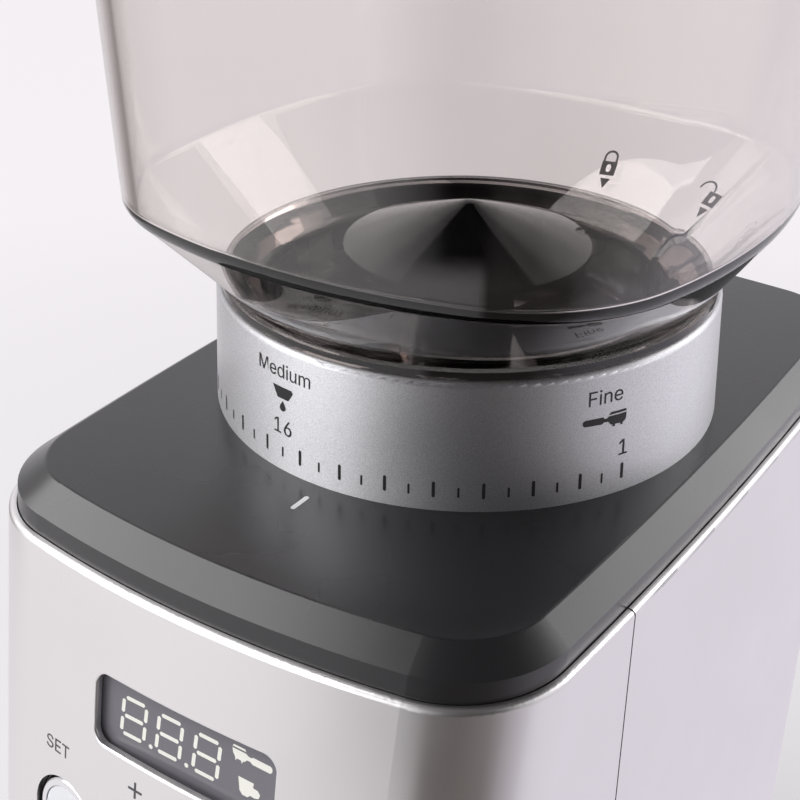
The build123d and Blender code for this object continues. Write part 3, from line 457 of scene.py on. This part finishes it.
def cut_to_strips(mesh, width=0.8):
    """Cuts a flat figure into narrow upright strips, so that it can bend."""
    shape = bmesh.new()
    shape.from_mesh(mesh)
    low = min(vertex.co.x for vertex in shape.verts)
    high = max(vertex.co.x for vertex in shape.verts)
    for step in range(1, int((high - low) / width) + 1):
        parts = shape.verts[:] + shape.edges[:] + shape.faces[:]
        bmesh.ops.bisect_plane(shape, geom=parts, plane_co=(low + step * width, 0, 0), plane_no=(1, 0, 0))
    bmesh.ops.triangulate(shape, faces=shape.faces[:])
    shape.to_mesh(mesh)
    shape.free()


def lay(name, mesh, place, ink, body):
    """Bends a flat figure on to a face and lets it ride on the body."""
    cut_to_strips(mesh)
    for vertex in mesh.vertices:
        vertex.co = place(vertex.co.x, vertex.co.y)
    mesh.update()
    return new_piece(name, mesh, inks[ink], body)


# Scale of the collar
setting_count = 31
setting_at_index = 14
setting_step = 4.96
index_shift = -0.15
word_base = 20.2
word_height = 2.95
number_base = 8.05
number_height = 3.25


def setting_angle(setting):
    return radians(-90 - index_shift - (setting - setting_at_index) * setting_step)


def drip_cone():
    """A filter cone with a drop under it."""
    cone = [(-2.83, 18.24), (2.4, 18.24), (2.83, 17.7), (1.55, 15.78), (-1.45, 15.78)]
    drop = arc((0, 13.85), 0.8, -220, 40, 14) + [(0.0, 15.3)]
    return outline(cone, drop)


def portafilter():
    """A handle to the left, a basket with two spouts and its lid to the right."""
    handle = (
        arc((-4.35, 16.5), 0.55, 180, 270, 4)
        + [(-0.75, 15.75), (-0.25, 16.1), (0.65, 16.0), (1.3, 15.25), (1.75, 15.2)]
        + [(1.65, 14.75), (2.2, 14.75), (2.35, 15.2), (3.5, 15.1), (3.5, 14.7), (4.05, 14.7), (4.05, 15.1)]
        + arc((3.9, 16.1), 0.95, -60, 0, 4)
        + [(4.85, 17.05), (0.75, 17.05), (0.5, 16.75), (-0.2, 16.75), (-0.5, 17.2)]
        + arc((-4.35, 16.7), 0.55, 90, 180, 4)
    )
    lid = [(0.75, 17.35), (4.85, 17.35), (4.75, 17.85), (1.35, 17.85)]
    return outline(handle, lid)


def coarse_pot():
    """A tall pot with a plunger, for the coarse end."""
    pot = rounded_box((-1.9, 13.2), (1.9, 17.1), 0.5)
    knob = rounded_bar(17.3, 18.6, 0.7)
    handle = [
        (2.15, 16.6), (3.2, 16.6), (3.2, 14.2), (2.15, 14.2),
        (2.15, 14.8), (2.6, 14.8), (2.6, 16.0), (2.15, 16.0),
    ]
    return outline(pot, knob, handle)


# Ticks as low end, high end and width, long at odd settings
long_tick = (2.8, 6.2, 0.62)
short_tick = (3.0, 5.2, 0.42)
for setting in range(1, setting_count + 1):
    tick = outline(rounded_bar(*(long_tick if setting % 2 else short_tick)))
    lay(f"collar_tick_{setting}", tick, collar_place(setting_angle(setting), 0), "dark_ink", "collar")

# Words, signs and numbers of the collar, each with its setting, a turn aside and its level
fine_shift = radians(-4.8)
collar_prints = [
    ("collar_medium", words("Medium", word_height, 14.4), 16, 0, word_base),
    ("collar_drip", drip_cone(), 16, 0, 0),
    ("collar_16", words("16", number_height), 16, 0, number_base),
    ("collar_fine", words("Fine", word_height, 7.6), 1, fine_shift, word_base - 0.2),
    ("collar_portafilter", portafilter(), 1, fine_shift, 0),
    ("collar_1", words("1", number_height), 1, 0, number_base),
    ("collar_coarse", words("Coarse", word_height, 13.0), setting_count, -fine_shift, word_base),
    ("collar_pot", coarse_pot(), setting_count, -fine_shift, 0),
    ("collar_31", words("31", number_height), setting_count, 0, number_base),
]
for name, mesh, setting, shift, level in collar_prints:
    lay(name, mesh, collar_place(setting_angle(setting) + shift, level), "dark_ink", "collar")

# Index mark on the top plate
index_front, index_back = -64.5, -59.3
index_width = 1.05
index_side = 0.8
lay(
    "plate_index", outline(rounded_bar(index_front, index_back, index_width, x=index_side)),
    lambda across, up: row_point(across, up, print_lift), "white_ink", "body",
)


# Front: button signs, digits and signs of the display
def plus_sign(size, stroke, upright=True):
    half, thin = size / 2, stroke / 2
    if not upright:
        return outline([(-half, -thin), (half, -thin), (half, thin), (-half, thin)])
    return outline([
        (-half, -thin), (-thin, -thin), (-thin, -half), (thin, -half), (thin, -thin), (half, -thin),
        (half, thin), (thin, thin), (thin, half), (-thin, half), (-thin, thin), (-half, thin),
    ])


sign_level = -47.6
plus_size, plus_stroke = 3.6, 0.5
sign_word_height = 2.9
sign_word_level = sign_level - 3.0
outer_button, inner_button = 32.5, 10.05
front_prints = [
    ("front_set", words("SET", sign_word_height), -outer_button, sign_word_level),
    ("front_plus", plus_sign(plus_size, plus_stroke), -inner_button, sign_level),
    ("front_minus", plus_sign(plus_size, plus_stroke, upright=False), inner_button, sign_level),
    ("front_start", words("START", sign_word_height), outer_button, sign_word_level),
]
for name, mesh, x, level in front_prints:
    lay(name, mesh, front_place(x, level), "grey_ink", "body")

digit_width = 5.7
digit_height = 8.0
digit_middle = -0.6
digit_stroke = 0.86
digit_lean = 0.06
digit_lefts = [-16.4, -7.5, 1.6]
segment_gap = 0.45
segment_tip = 0.7
dot_shift = 1.6
dot_radius = 0.5
sign_lift = 3.1


def segment(start, end):
    """One bar of a digit, with pointed ends."""
    (x0, y0), (x1, y1) = start, end
    length = hypot(x1 - x0, y1 - y0)
    ux, uy = (x1 - x0) / length, (y1 - y0) / length
    half = digit_stroke / 2
    x0, y0 = x0 + ux * segment_gap, y0 + uy * segment_gap
    x1, y1 = x1 - ux * segment_gap, y1 - uy * segment_gap
    tip = half * segment_tip
    points = [
        (x0, y0), (x0 + ux * tip - uy * half, y0 + uy * tip + ux * half),
        (x1 - ux * tip - uy * half, y1 - uy * tip + ux * half), (x1, y1),
        (x1 - ux * tip + uy * half, y1 - uy * tip - ux * half),
        (x0 + ux * tip + uy * half, y0 + uy * tip - ux * half),
    ]
    return [(x + y * digit_lean, y) for x, y in points]


def digit(left):
    half = digit_height / 2
    corners = [(left + x * digit_width, digit_middle + y * half) for y in (-1, 0, 1) for x in (0, 1)]
    pairs = [(0, 1), (2, 3), (4, 5), (0, 2), (2, 4), (1, 3), (3, 5)]
    return [segment(corners[a], corners[b]) for a, b in pairs]


def display_sign():
    """A portafilter with its handle to the right, and a cup with its ear to the right."""
    lid = [(10.2, 1.45), (13.4, 1.45), (13.1, 1.9), (10.5, 1.9)]
    basket = [
        (10.2, 1.1), (13.4, 1.1), (14.0, 0.75), (14.6, 0.75), (15.0, 1.0), (19.0, 1.0), (19.4, 0.6),
        (19.4, -0.1), (19.0, -0.5), (15.0, -0.5), (14.3, -0.1), (13.6, -0.2), (13.1, -0.8), (12.8, -0.8),
        (12.6, -1.4), (12.3, -0.8), (11.4, -0.8), (11.1, -1.3), (10.9, -0.5), (10.4, 0.2),
    ]
    cup = [
        (12.0, -4.2), (15.6, -4.2), (15.5, -5.2), (16.6, -5.3), (17.2, -6.0), (16.9, -6.9), (15.9, -7.2),
        (15.0, -7.1), (14.4, -7.7), (13.2, -7.7), (12.5, -7.0),
    ]
    return [[(x, y + sign_lift) for x, y in loop] for loop in (lid, basket, cup)]


dot_places = [(left + digit_width + dot_shift, digit_middle - digit_height / 2) for left in digit_lefts[:2]]
lens_normal = Vector((0, -cos(front_lean), sin(front_lean)))
lens_up = Vector((0, sin(front_lean), cos(front_lean)))
lens_face = max(vertex.co.dot(lens_normal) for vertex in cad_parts["display_lens"].data.vertices)
lens_middle = (lens_low + lens_high) / 2
lens_origin = lens_middle + lens_normal * (lens_face - lens_middle.dot(lens_normal) + print_lift * MM)


def lens_place(across, up):
    return lens_origin + Vector((across * MM, 0, 0)) + lens_up * (up * MM)


digit_loops = [loop for left in digit_lefts for loop in digit(left)]
digit_loops += [arc(spot, dot_radius, 0, 330, 11) for spot in dot_places]
lay("display_digits", outline(*digit_loops), lens_place, "lit_segments", "body")
lay("display_signs", outline(*display_sign()), lens_place, "lit_segments", "body")


# Hopper: one clear shell with a rounded fold, a round neck and a ported floor
hopper_half = collar_radius + 9.6
hopper_bow = 130.0
hopper_corner = 37.0
hopper_wall = 2.5
fold_level = 46.9
fold_round = 1.6
inner_fold_round = fold_round - 1
rim_round = 0.9
throat_round = 1.2
wall_shares = (0.35, 0.7)
neck_level = (hopper_low.z - axis.z) / MM
rim_level = (hopper_high.z - axis.z) / MM
rim_half = (hopper_high.x - axis.x) / MM
neck_radius = 46.4
seat_level = 22.0
shoulder_radius = 51.4
flange_levels = (27.0, 28.6)
flange_radius = 53.0
funnel_step = 1.6
floor_thickness = 2.0
port_inner = 14.0
port_outer = 41.0
port_half_angle = 13
port_pitch = 60
pivot_hole = 5.03
pocket = (12, 46)
pocket_depth = 1.6
turns = 360
sharp_angle = 35


def hopper_reach(angle, half, inset):
    """Distance from the axis to the square outline with bowed sides and round corners."""
    across, along = abs(cos(angle)), abs(sin(angle))
    if along > across:
        across, along = along, across
    back = half - hopper_bow
    corner = back / sqrt(2) + sqrt((hopper_bow - hopper_corner) ** 2 - back**2 / 2)
    tangent = atan2(corner / sqrt(2), corner / sqrt(2) - back)
    touch = (back + hopper_bow * cos(tangent), hopper_bow * sin(tangent))
    if atan2(along, across) < atan2(touch[1], touch[0]):
        centre, radius = (back, 0.0), hopper_bow - inset
    else:
        centre, radius = (corner / sqrt(2), corner / sqrt(2)), hopper_corner - inset
    near = centre[0] * across + centre[1] * along
    return near + sqrt(near**2 - centre[0] ** 2 - centre[1] ** 2 + radius**2)


def rounded_fold(before, fold, after, size, steps=8):
    """Points of a curve that rounds the corner of a profile, each as radius and level."""
    def towards(point):
        length = hypot(point[0] - fold[0], point[1] - fold[1])
        return tuple(fold[i] + (point[i] - fold[i]) * size / length for i in (0, 1))
    start, end = towards(before), towards(after)
    shares = [step / steps for step in range(steps + 1)]
    return [
        tuple((1 - t) ** 2 * start[i] + 2 * t * (1 - t) * fold[i] + t**2 * end[i] for i in (0, 1))
        for t in shares
    ]


def hopper_profile(angle):
    """Radius and level along the shell: up the outside, over the rim and down the inside."""
    outer_fold = (hopper_reach(angle, hopper_half, 0), fold_level)
    inner_fold = (hopper_reach(angle, hopper_half, hopper_wall), fold_level + hopper_wall / 2)
    outer_rim = (hopper_reach(angle, rim_half, 0), rim_level)
    inner_rim = (hopper_reach(angle, rim_half, hopper_wall), rim_level)
    funnel_foot = (flange_radius - funnel_step, flange_levels[1])
    in_pocket = pocket[0] <= round(degrees(angle)) <= pocket[1]
    throat = (neck_radius - hopper_wall + (pocket_depth if in_pocket else 0), seat_level + hopper_wall)
    walls = [outer_fold[0] + (outer_rim[0] - outer_fold[0]) * share for share in wall_shares]
    levels = [fold_level + (rim_level - fold_level) * share for share in wall_shares]
    profile = [
        (neck_radius, neck_level), (neck_radius, seat_level),
        (shoulder_radius, seat_level), (shoulder_radius, flange_levels[0]),
        (flange_radius, flange_levels[0]), (flange_radius, flange_levels[1]),
        funnel_foot,
    ]
    profile += rounded_fold(funnel_foot, outer_fold, outer_rim, fold_round)
    profile += list(zip(walls, levels))
    profile += rounded_fold(outer_fold, outer_rim, inner_rim, rim_round, 4)
    profile += rounded_fold(outer_rim, inner_rim, inner_fold, rim_round, 4)
    profile += [(wall - hopper_wall, level) for wall, level in list(zip(walls, levels))[::-1]]
    profile += rounded_fold(inner_rim, inner_fold, throat, inner_fold_round)
    profile += rounded_fold(inner_fold, throat, (throat[0], neck_level + floor_thickness), throat_round, 4)
    profile += [(throat[0], neck_level + floor_thickness)]
    return profile


def hopper_shell():
    rings = [hopper_profile(2 * pi * turn / turns) for turn in range(turns)]
    floor_radii = [port_outer, port_inner, pivot_hole]
    points, faces = [], []
    for turn, ring in enumerate(rings):
        angle = 2 * pi * turn / turns
        top = [(radius, neck_level + floor_thickness) for radius in floor_radii]
        under = [(radius, neck_level) for radius in floor_radii[::-1]]
        for radius, level in ring + top + under:
            points.append(row_point(radius * cos(angle), radius * sin(angle), level))
    count = len(rings[0]) + 2 * len(floor_radii)
    outer_top, inner_top = len(rings[0]), len(rings[0]) + 1
    inner_under, outer_under = count - 2, count - 1

    def in_port(turn):
        return (turn + port_half_angle) % port_pitch < 2 * port_half_angle

    for turn in range(turns):
        following = (turn + 1) % turns
        here, there = turn * count, following * count
        for step in range(count):
            after = (step + 1) % count
            if in_port(turn) and (step, after) in ((outer_top, inner_top), (inner_under, outer_under)):
                continue
            faces.append((here + step, there + step, there + after, here + after))
        if in_port(turn):
            faces.append((here + outer_top, there + outer_top, there + outer_under, here + outer_under))
            faces.append((here + inner_under, there + inner_under, there + inner_top, here + inner_top))
        if in_port(turn) and not in_port(turn - 1):
            faces.append((here + outer_top, here + outer_under, here + inner_under, here + inner_top))
        if in_port(turn) and not in_port(following):
            faces.append((there + inner_top, there + inner_under, there + outer_under, there + outer_top))
    mesh = bpy.data.meshes.new("hopper_shell")
    mesh.from_pydata(points, [], faces)
    mesh.validate()
    mesh.update()
    return mesh


def smooth(piece, angle):
    for polygon in piece.data.polygons:
        polygon.use_smooth = True
    piece.data.set_sharp_from_angle(angle=radians(angle))


shell = new_piece("hopper_shell", hopper_shell(), materials[smoky_clear], "hopper")
smooth(shell, sharp_angle)
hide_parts("hopper")


# Padlock signs on the funnel, each with its bearing, its share of the slope and its swing
padlocks = [
    ("padlock_locked", False, 80.3, 0.31, 7),
    ("padlock_open", True, 48.3, 0.37, 6),
]
padlock_reach = 10


def funnel_place(angle, share, swing):
    """Place on the inside of the funnel, out up the slope and swung about the sign's tip."""
    def place(across, up):
        aside = across * cos(swing) - up * sin(swing)
        along = across * sin(swing) + up * cos(swing)
        radius_low, level_low = neck_radius - hopper_wall, seat_level + hopper_wall
        turn = angle - aside / (radius_low + padlock_reach)
        radius_high = hopper_reach(turn, hopper_half, hopper_wall)
        level_high = fold_level + hopper_wall / 2
        part = share + along / hypot(radius_high - radius_low, level_high - level_low)
        radius = radius_low + part * (radius_high - radius_low) - print_lift
        level = level_low + part * (level_high - level_low) + print_lift
        return row_point(radius * cos(turn), radius * sin(turn), level)
    return place


def padlock(is_open):
    pointer = [(-1.45, 2.6), (1.45, 2.6), (0.0, 0.0)]
    case = [(-2.1, 3.4), (2.1, 3.4), (2.1, 6.9), (-2.1, 6.9)]
    keyhole = rounded_bar(4.2, 6.2, 1.3)
    x, y = (-3.2, 6.9) if is_open else (0.0, 7.8)
    outer, inner = (2.4, 1.9) if is_open else (1.9, 1.35)
    foot = 6.8
    bow = (
        [(x + outer, foot)] + arc((x, y), outer, 0, 180, 12) + [(x - outer, foot), (x - inner, foot)]
        + arc((x, y), inner, 180, 0, 12) + [(x + inner, foot)]
    )
    return outline(pointer, case, keyhole, bow)


for name, is_open, bearing, share, swing in padlocks:
    place = funnel_place(radians(bearing), share, radians(swing))
    lay(name, padlock(is_open), place, "smoke_ink", "hopper")

# Camera, solved from the collar's ticks
camera_spot = (138.350, -235.294, 142.560)
camera_right = Vector((0.83264, 0.55380, 0.00429))
camera_up = Vector((-0.26803, 0.39618, 0.87818))
camera_back = Vector((0.48464, -0.73237, 0.47831))
camera = bpy.data.cameras.new("camera")
camera.sensor_width = 36.0
camera.lens = 61.69
camera.clip_start = 0.01
camera_object = bpy.data.objects.new("camera", camera)
bpy.context.scene.collection.objects.link(camera_object)
turn = Matrix((camera_right, camera_up, camera_back)).transposed().to_4x4()
camera_object.matrix_world = Matrix.Translation(row_point(*camera_spot)) @ turn
bpy.context.scene.camera = camera_object


# Floor, surroundings and lights
def bearing_share(tree, parts):
    """Bearing round the object, from 0 to 1, with a half towards the right."""
    bearing = chain(tree, "ARCTAN2", parts.outputs["Y"], parts.outputs["X"])
    return chain(tree, "ADD", chain(tree, "DIVIDE", bearing, 2 * pi), 0.5)


# Tones of the surroundings
pale = (0.905, 0.87, 0.9)
floor_white = (0.93, 0.895, 0.925)
bright = (0.99, 0.965, 0.985)
cool = (0.89, 0.85, 0.94)
half = (0.72, 0.69, 0.70)
grey = (0.36, 0.35, 0.36)
dim = (0.36, 0.34, 0.34)
dark = (0.18, 0.16, 0.155)
dusk = (0.11, 0.10, 0.10)
black = (0.02, 0.018, 0.018)
room = (0.95, 0.93, 0.96)
room_front = (0.05, 0.045, 0.045)
room_top = (0.06, 0.055, 0.055)
room_light = (0.3, 0.297, 0.303)

# What polished faces see of the floor and the room, by the bearing
near_stops = [
    (0.0, pale), (0.10, bright), (0.205, bright), (0.282, half), (0.296, dark), (0.41, dark),
    (0.50, cool), (0.70, cool), (0.76, pale), (0.83, grey), (0.88, grey), (0.95, pale),
]
far_stops = [
    (0.0, dim), (0.02, dim), (0.08, bright), (0.205, bright), (0.247, black), (0.285, black), (0.31, dusk),
    (0.36, dusk), (0.42, dim), (0.50, half), (0.60, cool), (0.80, pale), (0.94, pale), (0.975, dim),
]
room_stops = [
    (0.0, half), (0.01, half), (0.05, room), (0.23, room), (0.31, room_front), (0.44, room_front),
    (0.53, room), (0.955, room), (0.985, half),
]

# Spans over which the floor's far ramp and its plain glow come in, in metres, and the room's dark top
far_span = {"From Min": 0.595, "From Max": 0.635}
glow_span = {"From Min": 0.15, "From Max": 0.8, "To Min": 0.4, "To Max": 0.96}
top_span = {"From Min": 0.62, "From Max": 0.80}


def pale_floor():
    """A pale table that keeps the object's shadow and fades into the background far away."""
    made, shader = new_material("pale_floor", (0.86, 0.85, 0.87), 0.6)
    tree = made.node_tree
    place = tree.nodes.new("ShaderNodeTexCoord")
    parts = tree.nodes.new("ShaderNodeSeparateXYZ")
    tree.links.new(place.outputs["Object"], parts.inputs["Vector"])
    length = tree.nodes.new("ShaderNodeVectorMath")
    length.operation = "LENGTH"
    tree.links.new(place.outputs["Object"], length.inputs[0])
    distance = length.outputs["Value"]
    share = bearing_share(tree, parts)
    near_floor = ramp_node(tree, share, near_stops)
    far_floor = ramp_node(tree, share, far_stops)
    seen = mix_node(tree, span_node(tree, distance, far_span), near_floor, far_floor)
    glow = tree.nodes.new("ShaderNodeEmission")
    path = tree.nodes.new("ShaderNodeLightPath")
    to_camera = path.outputs["Is Camera Ray"]
    tree.links.new(mix_node(tree, to_camera, seen, floor_white), glow.inputs["Color"])
    plain = chain(tree, "MULTIPLY", to_camera, span_node(tree, distance, glow_span))
    lit = chain(tree, "MAXIMUM", path.outputs["Is Glossy Ray"], plain)
    mix = tree.nodes.new("ShaderNodeMixShader")
    tree.links.new(lit, mix.inputs["Fac"])
    tree.links.new(shader.outputs["BSDF"], mix.inputs[1])
    tree.links.new(glow.outputs["Emission"], mix.inputs[2])
    tree.links.new(mix.outputs["Shader"], tree.nodes["Material Output"].inputs["Surface"])
    return made


floor_size = 3.0
floor_corners = [(x * floor_size, y * floor_size, 0) for x, y in ((-1, -1), (1, -1), (1, 1), (-1, 1))]
floor_mesh = bpy.data.meshes.new("floor")
floor_mesh.from_pydata(floor_corners, [], [(0, 1, 2, 3)])
floor_mesh.materials.append(pale_floor())
floor = bpy.data.objects.new("floor", floor_mesh)
bpy.context.scene.collection.objects.link(floor)


def surroundings():
    """An even pale room. Polished faces see it darken overhead and behind the camera."""
    world = bpy.data.worlds.new("surroundings")
    bpy.context.scene.world = world
    world.use_nodes = True
    tree = world.node_tree
    place = tree.nodes.new("ShaderNodeTexCoord")
    parts = tree.nodes.new("ShaderNodeSeparateXYZ")
    tree.links.new(place.outputs["Generated"], parts.inputs["Vector"])
    around = ramp_node(tree, bearing_share(tree, parts), room_stops)
    overhead = mix_node(tree, span_node(tree, parts.outputs["Z"], top_span), around, room_top)
    path = tree.nodes.new("ShaderNodeLightPath")
    seen = chain(tree, "MAXIMUM", path.outputs["Is Camera Ray"], path.outputs["Is Transmission Ray"])
    plain = mix_node(tree, seen, room_light, pale)
    colour = mix_node(tree, path.outputs["Is Glossy Ray"], plain, overhead)
    tree.links.new(colour, tree.nodes["Background"].inputs["Color"])


surroundings()


def soft_light(name, bearing, rise, distance, size, radiance):
    """A soft box that faces the collar, given by where it stands and how bright its face is."""
    light = bpy.data.lights.new(name, "AREA")
    light.shape = "RECTANGLE"
    light.size, light.size_y = size
    light.energy = radiance * pi * size[0] * size[1]
    lamp = bpy.data.objects.new(name, light)
    bpy.context.scene.collection.objects.link(lamp)
    turn, tilt = radians(bearing), radians(rise)
    away = Vector((cos(turn) * cos(tilt), sin(turn) * cos(tilt), sin(tilt)))
    lamp.location = axis + away * distance
    lamp.rotation_mode = "QUATERNION"
    lamp.rotation_quaternion = (-away).to_track_quat("-Z", "Y")
    lamp.visible_camera = False


soft_light("light_left", bearing=-149, rise=43, distance=1.25, size=(1.0, 0.85), radiance=3.6)
soft_light("light_front", bearing=-122, rise=10, distance=1.2, size=(0.9, 0.5), radiance=2.7)
soft_light("light_right", bearing=50, rise=23, distance=1.3, size=(0.9, 0.6), radiance=2.7)

bpy.context.scene.view_settings.view_transform = "Standard"
